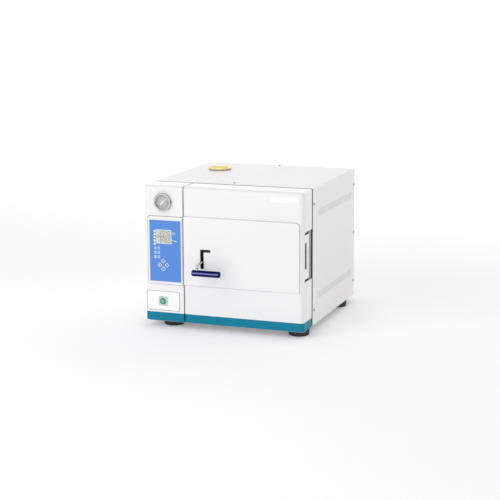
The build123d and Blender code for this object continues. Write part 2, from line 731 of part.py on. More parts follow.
# ---------------------------------------------------------------- hinge, keeper
def hinge_bracket():
    """Spine and foot on the front frame, with two arms out to the pin."""
    bracket = block(228, 233, 50, FRAME_Y0, 137, 275)
    bracket += block(206, 229, 73, FRAME_Y0, 146, 266)
    left, right = HINGE_X - 9, HINGE_X + 7.2
    back = FRAME_Y0 - 2.5
    outline = [(left, HINGE_Y), (right, HINGE_Y), (right, HINGE_Y + 27),
               (233, HINGE_Y + 30), (233, back), (left, back)]  # x, y
    for z in ARM_ZS:
        z0, z1 = z - ARM_T / 2, z + ARM_T / 2
        arm = prism([(x, y, z0) for x, y in outline], (0, 0, 1), z1 - z0)
        arm += rod_z(HINGE_X, HINGE_Y, 9, z0, z1)
        arm -= block(right, HINGE_X + 12, HINGE_Y - 10, HINGE_Y + 10, z - 5, z + 5)
        arm -= rod_z(HINGE_X, HINGE_Y, PIN_R, z - 5, z + 5)
        bracket += arm
    # trim the spine flush with the outer faces of the arms
    for z0, z1 in ((273.5, 276), (136, 138.5)):
        bracket -= block(227, 234, 49, 76.5, z0, z1)
    return bracket


def hinge_pin():
    """Pin with a head on the upper arm and a collar at each knuckle end."""
    upper = ARM_ZS[1]
    pin = rod_z(HINGE_X, HINGE_Y, PIN_R, ARM_ZS[0] - 6, upper + 4)
    pin += rod_z(HINGE_X, HINGE_Y, 7.5, upper + ARM_T / 2 + 0.05, upper + 6)
    for z0, z1 in ((176, 180.9), (235.1, 240)):
        pin += rod_z(HINGE_X, HINGE_Y, 8.0, z0, z1)
    return pin


def latch_keeper():
    """Plate on the front frame with an arm forward and a lip turned down."""
    keeper = block(-108, -93, 72, FRAME_Y0, 197, 238)
    keeper += block(-108, -93, 54, 72.1, 197, 203)
    keeper += block(-108, -93, 54, 60, 185, 197.1)
    keeper = round_edges(keeper, 3, lambda c: abs(c.Y - 54) < 0.1
                         and abs(c.Z - 203) < 0.1)
    for z in (212, 228):
        keeper -= rod_y(-100.5, z, 2.6, 70, 78)
    return keeper


# ---------------------------------------------------------------- door
def lever_slot(grow, y0, y1):
    """Cutting tool for the lever slot, widened all round by grow."""
    mid = (y0 + y1) / 2
    upright = block(*grown(SLOT_X, grow), y0, y1, *grown(SLOT_Z, grow))
    end_r = (SLOT_X[1] - SLOT_X[0]) / 2 + grow - 0.05
    upright = round_edges(upright, end_r, lambda c: abs(c.Y - mid) < 0.01
                          and c.Z < SLOT_Z[0] + 1)
    leg = block(*grown(SLOT_LEG_X, grow), y0, y1, *grown(SLOT_LEG_Z, grow))
    leg = round_edges(leg, 3.2, lambda c: abs(c.Y - mid) < 0.01
                      and c.X > SLOT_LEG_X[1] - 2)
    return round_edges(upright + leg, 3, lambda c: abs(c.Y - mid) < 0.01
                       and c.X < SLOT_X[0] + 1 and c.Z > SLOT_Z[1] - 1)


def door_shell():
    shell = hollow_block(DOOR_X, DOOR_DEPTH, SKIRT_H, HEIGHT, WALL, 1)
    # raised band with its own hollow behind
    pad = block(*PAD_X, -RAISE, 0.5, *PAD_Z)
    for z, radius in ((PAD_Z[1], 11), (PAD_Z[0], 2.5)):
        pad = round_edges(pad, radius, lambda c: abs(c.X - PAD_X[1]) < 0.1
                          and abs(c.Z - z) < 0.1)
    pad = round_edges(pad, 2.2, lambda c: c.Y < -RAISE + 0.01
                      and c.X > PAD_X[0] + 0.1)
    shell += pad
    shell -= block(*grown(PAD_X, -WALL), -RAISE + WALL, 5, *grown(PAD_Z, -WALL))
    shell -= lever_slot(0.0, -9, 5)
    # right side wall: slots for the hinge arms, clearance between, window
    side_x = (HALF_W - 6, HALF_W + 1)
    for z in ARM_ZS:
        shell -= block(*side_x, 11, DOOR_DEPTH + 1, z - 4, z + 4)
    shell -= block(*side_x, 45, DOOR_DEPTH + 1, *ARM_ZS)
    window = block(*side_x, 12.5, 30, 172, 245.5)
    return shell - round_edges(window, 2, lambda c: abs(c.X - HALF_W + 2.5) < 0.1)


def door_skirt():
    return skirt(DOOR_X, DOOR_DEPTH, 1)


def door_label_plate():
    return rounded_plate(139, 224, -1.0, -0.01, 356, 371, 6.5)


def latch_guide_plate():
    """Plate behind the raised band, with a slightly narrower lever slot."""
    plate = rounded_plate(-78, -20, -RAISE + WALL + 0.02, 2.0, 146, 224, 4)
    return plate - lever_slot(-0.5, -9, 8)


def door_yoke():
    """Cross bar, hinge leaf and knuckle, and two upright straps."""
    yoke = block(-88, 212, 40, 54, 192, 218)
    yoke += block(204, 212, HINGE_Y - 6, 54, 184, 230)
    yoke += rod_z(HINGE_X, HINGE_Y, 9.5, *KNUCKLE_Z)
    yoke += block(206, HINGE_X, HINGE_Y - 6, HINGE_Y + 6, 184, 230)
    bottom, top = SKIRT_T + 0.02, HEIGHT - WALL - 0.02
    for x in (0.0, 140.0):
        yoke += block(x, x + 20, 37, 40.1, bottom, top)
        yoke += block(x, x + 20, 20, 38, HEIGHT - WALL - 3, top)
        yoke += block(x, x + 20, 20, 38, bottom, SKIRT_T + 3)
    yoke -= rod_z(HINGE_X, HINGE_Y, 7.0, 170, 250)
    return yoke - rod_y(CHAMBER_X, CHAMBER_Z, 8.2, 30, 60)


def hinge_bushes():
    """Flanged bushes in the two ends of the knuckle."""
    low, high = KNUCKLE_Z
    bushes = []
    # barrel z0, z1, flange z0, z1
    for z0, z1, flange_z0, flange_z1 in ((low, low + 14, low - 1, low),
                                         (high - 14, high, high, high + 1)):
        bush = rod_z(HINGE_X, HINGE_Y, 6.98, z0, z1)
        bush += rod_z(HINGE_X, HINGE_Y, 9, flange_z0, flange_z1)
        bush -= rod_z(HINGE_X, HINGE_Y, PIN_R + 0.05, 170, 250)
        bushes.append(bush)
    return group(bushes)


def pressure_door():
    """Dished disc with a centre boss and a gasket groove."""
    profile = [  # radius, y: front face outwards, then back face inwards
        (0, 55), (16, 55), (18, 58), (60, 59.5), (105, 62.5), (140, 64),
        (140, 73), (136.2, 73), (136.2, 69), (127.8, 69), (127.8, 73),
        (118, 73), (100, 71), (60, 68.5), (0, 67.5),
    ]
    disc = turned(profile, CHAMBER_X, CHAMBER_Z)
    return disc - rod_y(CHAMBER_X, CHAMBER_Z, 8.0, 50, 64)


def door_gasket():
    tip_y = FLANGE_Y0 - 0.02
    profile = [(128, 69.1), (136, 69.1), (136, 73.2), (134.5, tip_y),
               (129.5, tip_y), (128, 73.2)]  # radius, y
    return turned(profile, CHAMBER_X, CHAMBER_Z)


def door_stud():
    """Stud through the cross bar into the disc, with a hex collar."""
    stud = rod_y(CHAMBER_X, CHAMBER_Z, 7.95, 22, 64)
    stud += hex_prism(CHAMBER_X, 34.9, CHAMBER_Z, 16, 5)
    return chamfer(edges_where(stud, lambda c: c.Y < 22.1), 1.2)


def shaft_bearings():
    """Two blocks under the cross bar that carry the lock shaft."""
    bearings = []
    for x in (-86.0, -44.0):
        bearing = block(x, x + 12, 33, 53, 170, 191.98)
        bearing = round_edges(bearing, 6, lambda c: c.Z < 170.1
                              and abs(c.Y - 43) > 9)
        bearing -= rod_x(LOCK_Y, LOCK_Z, SHAFT_R + 0.05, x - 1, x + 13)
        bearings.append(bearing)
    return group(bearings)


# ---------------------------------------------------------------- lever
def lock_shaft():
    """Shaft with a hub and a hook at the left end, a collar at the right."""
    left, right = HUB_X
    shaft = rod_x(LOCK_Y, LOCK_Z, SHAFT_R, left, -28)
    hub = rod_x(LOCK_Y, LOCK_Z, 10, left, right)
    outline = [(LOCK_Y, 177), (62, 177), (62, 184), (70, 184), (70, 171),
               (68, 169), (LOCK_Y, 169)]  # y, z; the tip turns up
    hook = prism([(left, y, z) for y, z in outline], (1, 0, 0), right - left)
    hook &= rod_x(LOCK_Y, LOCK_Z, 32, -110, -90)
    shaft += hub + hook
    return shaft + rod_x(LOCK_Y, LOCK_Z, 8, -31.9, -28)


def lever_arm():
    """Rod forward from a hub on the shaft, then down into the grip."""
    arm = bent_rod([(LEVER_X, LOCK_Y - 4, LOCK_Z - 0.35), (LEVER_X, GRIP_Y, 174.9),
                    (LEVER_X, GRIP_Y, GRIP_Z)], 9.0, ROD_R)
    arm += rod_x(LOCK_Y, LOCK_Z, 8.5, LEVER_X - 6, LEVER_X + 6)
    return arm - rod_x(LOCK_Y, LOCK_Z, SHAFT_R + 0.01, LEVER_X - 8, LEVER_X + 8)


def lever_grip():
    grip = rod_x(GRIP_Y, GRIP_Z, GRIP_R, *GRIP_X)
    grip = round_edges(grip, 2.6, lambda c: abs(c.X - GRIP_X[0]) < 0.1
                       or abs(c.X - GRIP_X[1]) < 0.1)
    return grip - rod_z(LEVER_X, GRIP_Y, ROD_R + 0.02, GRIP_Z - 0.1, GRIP_Z + 12)


# ---------------------------------------------------------------- output
# Each function builds the piece it is named after.
PIECES = [
    base_pan, front_frame, rear_panel, wrap_cover, cover_screws, feet,
    column_housing, column_skirt, panel_bezel, control_membrane, lcd_display,
    indicator_leds, control_board, gauge_case, gauge_dial, gauge_glass,
    gauge_needle, power_plate, power_button_bezel, power_button,
    chamber_vessel, chamber_flange, insulation_jacket, chamber_saddles,
    heating_element, tray_rack, safety_valve, steam_pipes,
    water_tank, filler_cap_seal, filler_cap, solenoid_valves, condenser_coil,
    power_board, power_inlet, fuse_holders, drain_spigots,
    hinge_bracket, hinge_pin, latch_keeper,
    door_shell, door_skirt, door_label_plate, latch_guide_plate, door_yoke,
    hinge_bushes, pressure_door, door_gasket, door_stud, shaft_bearings,
    lock_shaft, lever_arm, lever_grip,
]

os.makedirs("parts", exist_ok=True)
for make_piece in PIECES:
    save_piece(make_piece.__name__, make_piece())
for name, (x, z) in KEYS.items():
    save_piece(name, panel_key(x, z))
for name, dz in TRAYS.items():
    save_piece(name, tray(dz))
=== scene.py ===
"""A steam-chamber cabinet with a control column and a pressure door.

The front looks to -Y, +X is to the right seen from the front and +Z is up.
The CAD pieces are loaded and given materials, then the thin printed pieces and
the painted shade lines of the front are built, then the floor, lights and camera.
Drawing values are millimetres in the modelling frame; to_row turns them into
metres in the row frame.
"""
import bpy
import bmesh
import math
import random
from mathutils import Vector, Matrix


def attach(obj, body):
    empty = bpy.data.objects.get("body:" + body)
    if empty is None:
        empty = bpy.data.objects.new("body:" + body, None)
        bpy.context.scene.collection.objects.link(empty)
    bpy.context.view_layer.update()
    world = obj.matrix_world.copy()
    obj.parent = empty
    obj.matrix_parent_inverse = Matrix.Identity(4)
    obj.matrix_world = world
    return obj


random.seed(7)
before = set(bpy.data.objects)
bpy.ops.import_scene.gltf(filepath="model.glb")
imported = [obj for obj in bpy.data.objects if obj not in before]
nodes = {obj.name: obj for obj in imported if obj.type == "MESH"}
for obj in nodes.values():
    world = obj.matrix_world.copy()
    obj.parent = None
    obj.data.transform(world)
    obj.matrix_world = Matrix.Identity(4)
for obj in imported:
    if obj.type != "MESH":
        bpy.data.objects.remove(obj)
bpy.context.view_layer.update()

MM = 0.001
ROW_ORIGIN_Y = 230.25    # modelling-frame Y of the row origin
FOOT_HEIGHT = 18.0       # row floor below the modelling-frame zero

# Boxes are (left, right, bottom, top), centres are (x, z)
PANEL_BOX = (-218.8, -119.6, 112.4, 291.0)
DISPLAY_BOX = (-196.5, -151.0, 223.5, 261.0)
POWER_PLATE_BOX = (-228.9, -129.6, 30.1, 85.9)
KEYPAD_CENTRE = (-175.3, 162.0)
KEY_PITCH_X, KEY_PITCH_Z = 10.9, 11.2
GAUGE_CENTRE = (-175.7, 339.4)
BUTTON_CENTRE = (-179.5, 57.5)

# Y of the front faces that carry the print and the painted shade lines
PANEL_FACE = -5.2
DISPLAY_FACE = -4.7
KEY_FACE = -5.8
DIAL_FACE = -2.6
MOULDING_FACE = 0.0
POWER_PLATE_FACE = -1.0
BUTTON_FACE = -6.5


# =====================================================================
# material tools
# =====================================================================
def srgb(rgb):
    """0-255 sRGB to a linear RGBA colour."""
    def linear(channel):
        channel = channel / 255.0
        return channel / 12.92 if channel <= 0.04045 else ((channel + 0.055) / 1.055) ** 2.4
    return tuple(linear(channel) for channel in rgb) + (1.0,)


def grey(value):
    return (value, value, value, 1)


def scaled(color, factor):
    return tuple(min(channel * factor, 1) for channel in color[:3]) + (1.0,)


class Surface:
    """A principled material and the helpers that wire nodes into it."""

    def __init__(self, name):
        self.material = bpy.data.materials.new(name)
        self.material.use_nodes = True
        self.tree = self.material.node_tree
        self.shader = self.tree.nodes["Principled BSDF"]
        self.coords = self.node("ShaderNodeTexCoord").outputs

    def node(self, kind, **settings):
        node = self.tree.nodes.new(kind)
        for key, value in settings.items():
            setattr(node, key, value)
        return node

    def plug(self, socket, value):
        """Link an output socket, or set a plain value."""
        if isinstance(value, bpy.types.NodeSocket):
            self.tree.links.new(value, socket)
        else:
            socket.default_value = value

    def feed(self, node, **inputs):
        """Plug inputs by name, with underscores for spaces."""
        for key, value in inputs.items():
            self.plug(node.inputs[key.replace("_", " ")], value)

    def shade(self, **inputs):
        self.feed(self.shader, **inputs)

    def noise(self, scale, detail=3.0, roughness=0.5, stretch=None):
        noise = self.node("ShaderNodeTexNoise")
        vector = self.coords["Object"]
        if stretch:
            mapping = self.node("ShaderNodeMapping")
            self.feed(mapping, Scale=stretch, Vector=vector)
            vector = mapping.outputs["Vector"]
        self.feed(noise, Scale=scale, Detail=detail, Roughness=roughness, Vector=vector)
        return noise.outputs["Fac"]

    def remap(self, value, span=(0.3, 0.7), to=(0.0, 1.0)):
        node = self.node("ShaderNodeMapRange")
        self.feed(node, From_Min=span[0], From_Max=span[1], To_Min=to[0], To_Max=to[1],
                  Value=value)
        return node.outputs["Result"]

    def mix(self, factor, first, second):
        node = self.node("ShaderNodeMix", data_type="RGBA")
        # sockets 6 and 7 are the colour pair, output 2 the colour result
        for index, value in ((0, factor), (6, first), (7, second)):
            self.plug(node.inputs[index], value)
        return node.outputs[2]

    def pair(self, kind, operation, first, second):
        """A two-input math or vector math node."""
        node = self.node(kind, operation=operation)
        self.plug(node.inputs[0], first)
        self.plug(node.inputs[1], second)
        return node.outputs["Value"]

    def multiply(self, first, second):
        return self.pair("ShaderNodeMath", "MULTIPLY", first, second)

    def dot(self, first, second):
        return self.pair("ShaderNodeVectorMath", "DOT_PRODUCT", first, second)

    def bevel_normal(self, radius):
        node = self.node("ShaderNodeBevel", samples=4)
        self.feed(node, Radius=radius)
        return node.outputs["Normal"]

    def face_normal(self):
        return self.node("ShaderNodeNewGeometry").outputs["Normal"]

    def edge_mask(self, radius):
        """1 on sharp edges, 0 on flats, from rounded against true normal."""
        match = self.dot(self.bevel_normal(radius), self.face_normal())
        return self.remap(match, span=(0.90, 0.995), to=(1.0, 0.0))

    def bump(self, height, strength, distance, bevel):
        """Relief from a height; bevel is the radius of the softened edges."""
        node = self.node("ShaderNodeBump")
        self.feed(node, Strength=strength, Distance=distance, Height=height)
        if bevel > 0:
            self.feed(node, Normal=self.bevel_normal(bevel))
        self.shade(Normal=node.outputs["Normal"])


def paint(name, rgb, roughness=0.38, grain=900.0, bump=0.12, drift=0.02, coat=0.15,
          wear=0.0, wear_rgb=None, bevel=0.0005, blotch=6.0, specular=0.4):
    """Painted sheet or moulded plastic.

    grain and blotch are the scales of the orange peel and the slow tone,
    drift is the tone change, wear the amount of worn edge.
    """
    color = srgb(rgb)
    surface = Surface(name)
    slow = surface.noise(scale=blotch, detail=4, roughness=0.6)
    fine = surface.noise(scale=grain, detail=2)
    tone = surface.mix(surface.remap(slow), scaled(color, 1 - drift), scaled(color, 1 + drift))
    tone = surface.mix(surface.remap(fine, span=(0.45, 0.75), to=(0.0, 0.25)), tone,
                       scaled(color, 1 - 2 * drift))
    if wear:
        edge = surface.edge_mask(radius=0.0012)
        scuffs = surface.noise(scale=160, detail=5, roughness=0.7)
        worn = surface.multiply(edge, surface.remap(scuffs, span=(0.45, 0.65), to=(0.0, wear)))
        tone = surface.mix(worn, tone, srgb(wear_rgb))
    surface.shade(
        Base_Color=tone,
        Roughness=surface.remap(fine, span=(0.2, 0.8), to=(roughness - 0.05, roughness + 0.07)),
        Specular_IOR_Level=specular, Coat_Weight=coat, Coat_Roughness=0.25)
    surface.bump(fine, strength=bump, distance=0.00012, bevel=bevel)
    return surface.material


def metal(name, color, roughness, stretch, drift=0.08, bump=0.15, tint=None):
    """Brushed or turned metal; stretch is the grain scale along X, Y and Z."""
    surface = Surface(name)
    grain = surface.noise(scale=1.0, detail=4, roughness=0.6, stretch=stretch)
    slow = surface.noise(scale=14, detail=3, roughness=0.6)
    tone = surface.mix(surface.remap(grain), scaled(color, 1 - drift), scaled(color, 1 + drift))
    tone = surface.mix(surface.remap(slow, span=(0.35, 0.7), to=(0.0, 0.35)), tone,
                       tint or scaled(color, 0.8))
    surface.shade(
        Base_Color=tone, Metallic=1.0,
        Roughness=surface.remap(grain, span=(0.25, 0.75),
                                to=(roughness - 0.07, roughness + 0.1)))
    surface.bump(grain, strength=bump, distance=0.00006, bevel=0.0003)
    return surface.material


def mirror(name, dark=0.22, bright=0.9, roughness=0.08):
    """Polished chrome with a painted reflection: the base colour follows the
    reflected direction, with the dark band of a room at eye level painted in,
    plus faint smears."""
    surface = Surface(name)
    direction = surface.node("ShaderNodeSeparateXYZ")
    surface.plug(direction.inputs[0], surface.coords["Reflection"])
    ramp = surface.node("ShaderNodeValToRGB")
    stops = ramp.color_ramp.elements
    stops[0].position, stops[0].color = 0.0, grey(bright * 0.8)
    stops[1].position, stops[1].color = 1.0, grey(bright)
    for position, value in ((0.40, bright * 0.75), (0.47, dark), (0.55, dark * 1.3),
                            (0.64, bright * 0.8)):
        stops.new(position).color = (value, value, value * 1.02, 1)
    height = surface.node("ShaderNodeMath", operation="ADD")
    surface.plug(height.inputs[0], surface.remap(direction.outputs["Z"], span=(-1, 1)))
    # the painted reflection band tilts slightly across X
    surface.plug(height.inputs[1], surface.multiply(direction.outputs["X"], 0.10))
    surface.feed(ramp, Fac=height.outputs[0])
    smears = surface.noise(scale=60, detail=4, roughness=0.65)
    surface.shade(
        Base_Color=surface.mix(surface.remap(smears, span=(0.35, 0.8), to=(0, 0.5)),
                               ramp.outputs["Color"], (0.6, 0.6, 0.62, 1)),
        Metallic=1.0,
        Roughness=surface.remap(smears, span=(0.35, 0.75), to=(roughness, roughness + 0.08)))
    surface.bump(surface.noise(scale=700, detail=2), strength=0.03, distance=0.00005,
                 bevel=0.0004)
    return surface.material


def gloss_streak(name, rgb, painted_highlight_rgb, painted_highlight_normal):
    """Deep gloss plastic with a painted highlight: the base colour turns to a
    long soft light band where the surface faces the given normal."""
    color = srgb(rgb)
    surface = Surface(name)
    facing = surface.dot(surface.face_normal(), tuple(Vector(painted_highlight_normal).normalized()))
    mottle = surface.noise(scale=120, detail=3, roughness=0.6)
    # painted highlight: light base colour where the surface faces the given normal, broken by a
    # little mottle
    painted_highlight = surface.multiply(surface.remap(facing, span=(0.965, 0.999)),
                              surface.remap(mottle, to=(0.75, 0.95)))
    tone = surface.mix(surface.remap(mottle), color, scaled(color, 1.25))
    surface.shade(Base_Color=surface.mix(painted_highlight, tone, srgb(painted_highlight_rgb)), Roughness=0.12,
                  Specular_IOR_Level=0.06)
    surface.bump(surface.noise(scale=260, detail=2), strength=0.02, distance=0.00008,
                 bevel=0.0006)
    return surface.material


def rubber(name, color, roughness=0.62):
    surface = Surface(name)
    fine = surface.noise(scale=1400.0, detail=3, roughness=0.6)
    slow = surface.noise(scale=25, detail=4, roughness=0.6)
    tone = surface.mix(surface.remap(slow, span=(0.35, 0.7)), color, scaled(color, 1.6))
    tone = surface.mix(surface.remap(fine, span=(0.5, 0.8), to=(0, 0.3)), tone,
                       scaled(color, 2.2))
    surface.shade(
        Base_Color=tone,
        Roughness=surface.remap(fine, span=(0.2, 0.8), to=(roughness - 0.08, roughness + 0.1)))
    surface.bump(fine, strength=0.3, distance=0.0001, bevel=0.0004)
    return surface.material


def glass(name):
    """Thin window: mostly clear, with a weak smeared reflection."""
    surface = Surface(name)
    smears = surface.noise(scale=60, detail=3, roughness=0.6)
    surface.shade(Base_Color=(0.96, 0.98, 1.0, 1),
                  Roughness=surface.remap(smears, span=(0.3, 0.8), to=(0.03, 0.10)))
    clear = surface.node("ShaderNodeBsdfTransparent")
    blend = surface.node("ShaderNodeMixShader")
    reflection = surface.remap(smears, span=(0.3, 0.8), to=(0.04, 0.12))
    for index, source in enumerate((reflection, clear.outputs[0], surface.shader.outputs[0])):
        surface.plug(blend.inputs[index], source)
    surface.feed(surface.tree.nodes["Material Output"], Surface=blend.outputs[0])
    return surface.material


def lamp(name, color, glow, strength):
    surface = Surface(name)
    fine = surface.noise(scale=300, detail=2)
    surface.shade(Base_Color=surface.mix(surface.remap(fine), color, scaled(color, 0.9)),
                  Roughness=0.25, Emission_Color=glow, Emission_Strength=strength)
    return surface.material


# =====================================================================
# materials
# =====================================================================
WHITE_MOULDING = paint("mat_white_moulding", (244, 244, 245), roughness=0.33, grain=650,
                       bump=0.06, drift=0.008, coat=0.25, bevel=0.0006)
WHITE_COVER = paint("mat_white_cover", (243, 241, 241), roughness=0.42, grain=1100,
                    bump=0.16, drift=0.010, coat=0.08)
FRAME_GREY = paint("mat_frame_grey", (52, 52, 55), roughness=0.6, grain=1100, bump=0.16,
                   drift=0.06, coat=0.0, specular=0.15)
TEAL = paint("mat_teal", (0, 128, 158), roughness=0.4, grain=700, bump=0.07, drift=0.05,
             coat=0.0, wear=0.2, wear_rgb=(70, 170, 190), specular=0.2)
PANEL_BLUE = paint("mat_panel_blue", (92, 144, 222), roughness=0.36, grain=1600, bump=0.05,
                   coat=0.05, blotch=12, specular=0.2)
KEY_BLUE = paint("mat_key_blue", (66, 116, 204), grain=1600, bump=0.05, coat=0.05,
                 specular=0.2)
PRINT_WHITE = paint("mat_print_white", (240, 246, 252), roughness=0.4, grain=1500,
                    bump=0.03, drift=0.01, coat=0.1, bevel=0.0)
PLATE_WHITE = paint("mat_plate_white", (255, 255, 254), roughness=0.3, bump=0.04,
                    drift=0.008, coat=0.3, bevel=0.0003)
BUTTON_BEZEL = paint("mat_button_bezel", (205, 213, 213), roughness=0.3, bump=0.04,
                     coat=0.2, bevel=0.0004)
# light grey painted shade for the line at the edge of the door band
PAINTED_SHADE_LIGHT = paint("mat_painted_shade_light", (196, 197, 199), roughness=0.6, grain=1200, bump=0.04,
                   drift=0.03, coat=0.0, bevel=0.0)
# grey for the painted shade line at the column band's edge and for the power plate outline
SHADE_AND_OUTLINE_GREY = paint("mat_shade_and_outline_grey", (126, 127, 130), roughness=0.5, grain=1200, bump=0.04,
                  drift=0.03, coat=0.0, bevel=0.0)
LINE_DARK = paint("mat_line_dark", (64, 66, 70), roughness=0.5, grain=1200, bump=0.04,
                  drift=0.05, coat=0.0, bevel=0.0)
# navy grip with a painted highlight band in its base colour
NAVY = gloss_streak("mat_navy", rgb=(5, 4, 74), painted_highlight_rgb=(150, 152, 226),
                    painted_highlight_normal=(-0.05, -0.985, 0.16))
CAP_YELLOW = paint("mat_cap_yellow", (250, 230, 146), grain=800, bump=0.1, drift=0.03,
                   bevel=0.0006)
BUTTON_GREEN = paint("mat_button_green", (84, 184, 156), roughness=0.25, grain=800,
                     bump=0.02, drift=0.03, coat=0.2, specular=0.25)
BUTTON_RING = paint("mat_button_ring", (52, 128, 108), roughness=0.25, grain=800, bump=0.02,
                    drift=0.03, coat=0.4, bevel=0.0)
LCD = paint("mat_lcd", (214, 218, 206), roughness=0.16, grain=1800, bump=0.01, coat=0.8,
            bevel=0.0)
GUIDE = paint("mat_guide", (112, 111, 90), roughness=0.28, grain=1200, bump=0.05,
              drift=0.12, coat=0.4)
LCD_SEGMENTS = paint("mat_lcd_segments", (44, 40, 46), roughness=0.4, grain=1800, bump=0.02,
                     drift=0.05, coat=0.3, bevel=0.0)
DIAL = paint("mat_dial", (190, 187, 192), roughness=0.42, grain=1500, bump=0.05, drift=0.05,
             coat=0.1, bevel=0.0)
NEEDLE = paint("mat_needle", (255, 255, 255), roughness=0.35, grain=1500, bump=0.02,
               drift=0.01, coat=0.2, bevel=0.0)
CIRCUIT = paint("mat_pcb", (24, 92, 54), roughness=0.35, grain=1500, bump=0.1, drift=0.12,
                coat=0.4)
BLACK_PLASTIC = paint("mat_black_plastic", (34, 34, 36), roughness=0.42, grain=1200,
                      bump=0.15, drift=0.1, coat=0.1)
TANK = paint("mat_tank", (224, 230, 230), roughness=0.4, grain=500, bump=0.1, drift=0.03,
             coat=0.1)
LAGGING = paint("mat_lagging", (206, 198, 180), roughness=0.85, grain=420, bump=0.9,
                drift=0.08, coat=0.0, blotch=30)
LED = lamp("mat_led", color=(0.95, 0.97, 1, 1), glow=(1, 1, 1, 1), strength=0.35)

STAINLESS = metal("mat_stainless", grey(0.62), roughness=0.24, stretch=(2200, 40, 2200))
TURNED_STEEL = metal("mat_stainless_turned", grey(0.66), roughness=0.2,
                     stretch=(900, 2600, 900), drift=0.06)
ZINC = metal("mat_zinc", (0.56, 0.57, 0.58, 1), roughness=0.34, stretch=(300, 300, 300),
             drift=0.1, bump=0.2)
SCREW = metal("mat_screw", (0.40, 0.40, 0.41, 1), roughness=0.32, stretch=(900, 900, 900),
              drift=0.1, bump=0.2)
HEATER = metal("mat_heater", (0.34, 0.32, 0.31, 1), roughness=0.38, stretch=(500, 60, 500),
               drift=0.15, bump=0.2, tint=(0.30, 0.22, 0.16, 1))
BRASS = metal("mat_brass", (0.72, 0.55, 0.24, 1), roughness=0.26, stretch=(700, 700, 700))
COPPER = metal("mat_copper", (0.78, 0.42, 0.27, 1), roughness=0.28, stretch=(300, 300, 300))
BRONZE = metal("mat_bronze", (0.50, 0.34, 0.18, 1), roughness=0.4, stretch=(900, 900, 900),
               drift=0.12)
GREY_STEEL = metal("mat_grey_steel", (0.38, 0.38, 0.39, 1), roughness=0.42,
                   stretch=(200, 200, 900), drift=0.1)
YOKE_GREY = paint("mat_yoke_grey", (150, 151, 153), roughness=0.4, grain=1200, drift=0.05,
                  coat=0.05)
# chrome with a painted reflection in its base colour, for the lever arm and the gauge case
CHROME = mirror("mat_chrome")
BEZEL_CHROME = mirror("mat_chrome_bezel", dark=0.16, bright=0.66, roughness=0.12)
BLACK_RUBBER = rubber("mat_rubber_black", grey(0.018))
GREY_RUBBER = rubber("mat_rubber_grey", (0.26, 0.27, 0.28, 1))
SILICONE = rubber("mat_silicone", (0.62, 0.22, 0.12, 1), roughness=0.5)
GLASS = glass("mat_glass")
RED = paint("mat_red", (176, 78, 74), roughness=0.4, drift=0.03, bevel=0.0)

# material, then the CAD pieces made of it
PIECES_OF = (
    (ZINC, "base_pan chamber_saddles latch_keeper door_stud shaft_bearings lock_shaft"),
    (FRAME_GREY, "front_frame"), (WHITE_COVER, "wrap_cover rear_panel"),
    (WHITE_MOULDING, "column_housing panel_bezel door_shell"),
    (TEAL, "column_skirt door_skirt"), (PLATE_WHITE, "power_plate door_label_plate"),
    (SCREW, "cover_screws"), (BLACK_RUBBER, "feet"), (GREY_RUBBER, "filler_cap_seal"),
    (SILICONE, "door_gasket"), (PANEL_BLUE, "control_membrane"), (LCD, "lcd_display"),
    (LED, "indicator_leds"), (KEY_BLUE, "key_up key_down key_left key_right"),
    (CIRCUIT, "control_board power_board"), (BLACK_PLASTIC, "power_inlet fuse_holders"),
    (BEZEL_CHROME, "gauge_case"), (DIAL, "gauge_dial"), (NEEDLE, "gauge_needle"),
    (GLASS, "gauge_glass"), (BUTTON_BEZEL, "power_button_bezel"),
    (BUTTON_GREEN, "power_button"), (HEATER, "heating_element"),
    (STAINLESS, "chamber_vessel tray_rack tray_lower tray_middle tray_upper"),
    (TURNED_STEEL, "chamber_flange hinge_pin pressure_door"),
    (LAGGING, "insulation_jacket"), (TANK, "water_tank"), (CAP_YELLOW, "filler_cap"),
    (BRASS, "solenoid_valves safety_valve drain_spigots"),
    (COPPER, "condenser_coil steam_pipes"), (GREY_STEEL, "hinge_bracket"),
    (GUIDE, "latch_guide_plate"), (YOKE_GREY, "door_yoke"), (BRONZE, "hinge_bushes"),
    (CHROME, "lever_arm"), (NAVY, "lever_grip"),
)


def dress_cad_pieces():
    material_of = {piece: material for material, names in PIECES_OF for piece in names.split()}
    for name, piece in nodes.items():
        piece.data.materials.clear()
        piece.data.materials.append(material_of.get(name, ZINC))


# =====================================================================
# outlines, as lists of (x, z)
# =====================================================================
def arc_points(x, z, radius, start, end, steps):
    """Points from start to end, in degrees counterclockwise from +X."""
    angles = [math.radians(start + (end - start) * i / steps) for i in range(steps + 1)]
    return [(x + radius * math.cos(a), z + radius * math.sin(a)) for a in angles]


def box_about(x, z, half_width, half_height):
    return (x - half_width, x + half_width, z - half_height, z + half_height)


def rounded(box, radius, inset=0.0, steps=6):
    """Rounded rectangle, inset from the box on all sides."""
    left, right, bottom, top = box
    left, right = left + inset + radius, right - inset - radius
    bottom, top = bottom + inset + radius, top - inset - radius
    points = []
    for x, z, start in ((right, top, 0), (left, top, 90), (left, bottom, 180),
                        (right, bottom, 270)):
        points += arc_points(x, z, radius, start, start + 90.0, steps)
    return points


def circle(x, z, radius, sides=48):
    angles = [2 * math.pi * i / sides for i in range(sides)]
    return [(x + radius * math.cos(a), z + radius * math.sin(a)) for a in angles]


def diamond(x, z, half, radius, inset=0.0):
    """Rounded square turned by 45 degrees about its centre."""
    c = math.sqrt(0.5)
    square = rounded(box_about(x, z, half, half), radius, inset, steps=4)
    return [(x + (px - x) * c - (pz - z) * c, z + (px - x) * c + (pz - z) * c)
            for px, pz in square]


def clock_point(centre, radius, degrees):
    """Point at an angle clockwise from the top."""
    a = math.radians(90 - degrees)
    return (centre[0] + radius * math.cos(a), centre[1] + radius * math.sin(a))


